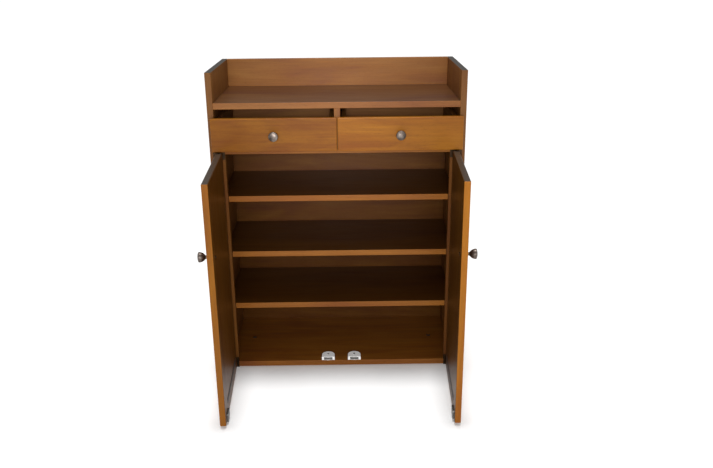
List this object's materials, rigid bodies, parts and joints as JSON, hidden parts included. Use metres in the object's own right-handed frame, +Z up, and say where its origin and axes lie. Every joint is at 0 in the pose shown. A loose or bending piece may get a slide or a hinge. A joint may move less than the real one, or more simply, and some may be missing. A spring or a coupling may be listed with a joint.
{
  "type": "shoe cabinet",
  "caption": "Free-standing shoe cabinet with a railed top, two shallow drawers side by side and a shelved compartment behind a pair of hinged doors.",
  "frame": {"origin": "on the floor, under the middle of the carcass footprint", "axes": "+Z up, -Y towards the user (the door side), +X to the right as seen from the front"},
  "size_m": [0.8, 0.7727, 1],
  "materials": {
    "back_board": "lacquered thin board",
    "black_rubber": "soft matt",
    "bright_steel": "nickel plated",
    "bronze": "antique bronze, worn on the rim",
    "bush_plastic": "moulded nylon",
    "dark_steel": "dark bronze paint",
    "dowel_wood": "bare",
    "drawer_wood": "satin lacquer",
    "glide_plastic": "moulded",
    "magnet": "bare ferrite and steel pole plates",
    "runner_plastic": "smooth",
    "stained_wood": "glossy lacquer over brown stain",
    "white_plastic": "moulded",
    "zinc": "bright zinc"
  },
  "bodies": {
    "carcass": {"back_panel": "back_board", "bottom_board": "stained_wood", "cam_locks": "zinc", "carcass_dowels": "dowel_wood", "catch_housing_left": "white_plastic", "catch_housing_right": "white_plastic", "catch_magnets": "magnet", "catch_screws": "bright_steel", "drawer_divider": "stained_wood", "drawer_floor": "stained_wood", "front_stile_left": "stained_wood", "front_stile_right": "stained_wood", "gallery_back": "stained_wood", "glides": "glide_plastic", "hinge_leaf_bottom_left": "dark_steel", "hinge_leaf_bottom_right": "dark_steel", "hinge_leaf_top_left": "dark_steel", "hinge_leaf_top_right": "dark_steel", "hinge_screws": "bright_steel", "runner_inner_left": "runner_plastic", "runner_inner_right": "runner_plastic", "runner_outer_left": "runner_plastic", "runner_outer_right": "runner_plastic", "runner_screws": "bright_steel", "shelf_lower": "stained_wood", "shelf_middle": "stained_wood", "shelf_pins": "bright_steel", "shelf_upper": "stained_wood", "side_panel_left": "stained_wood", "side_panel_right": "stained_wood", "top_board": "stained_wood"},
    "drawer_left": {"drawer_back_left": "drawer_wood", "drawer_bottom_left": "back_board", "drawer_front_left": "stained_wood", "drawer_knob_left": "bronze", "drawer_knob_screw_left": "bright_steel", "drawer_wall_inner_left": "drawer_wood", "drawer_wall_outer_left": "drawer_wood"},
    "drawer_right": {"drawer_back_right": "drawer_wood", "drawer_bottom_right": "back_board", "drawer_front_right": "stained_wood", "drawer_knob_right": "bronze", "drawer_knob_screw_right": "bright_steel", "drawer_wall_inner_right": "drawer_wood", "drawer_wall_outer_right": "drawer_wood"},
    "door_left": {"door_knob_left": "bronze", "door_knob_screw_left": "bright_steel", "door_panel_left": "stained_wood", "pivot_bushes_left": "bush_plastic", "seal_strip_left": "black_rubber", "strike_plate_left": "zinc", "strike_screws_left": "bright_steel"},
    "door_right": {"door_knob_right": "bronze", "door_knob_screw_right": "bright_steel", "door_panel_right": "stained_wood", "pivot_bushes_right": "bush_plastic", "seal_strip_right": "black_rubber", "strike_plate_right": "zinc", "strike_screws_right": "bright_steel"}
  },
  "joints": [
    {"name": "drawer_left_slide", "type": "slide", "parent": "carcass", "child": "drawer_left", "axis": [0, -1, 0], "range_m": [0, 0.24]},
    {"name": "drawer_right_slide", "type": "slide", "parent": "carcass", "child": "drawer_right", "axis": [0, -1, 0], "range_m": [0, 0.24]},
    {"name": "door_left_hinge", "type": "hinge", "parent": "carcass", "child": "door_left", "pos_m": [-0.374, -0.2105, 0.375], "axis": [0, 0, -1], "range_deg": [-87.5, 22.5]},
    {"name": "door_right_hinge", "type": "hinge", "parent": "carcass", "child": "door_right", "pos_m": [0.374, -0.2105, 0.375], "axis": [0, 0, 1], "range_deg": [-87.5, 22.5]}
  ]
}
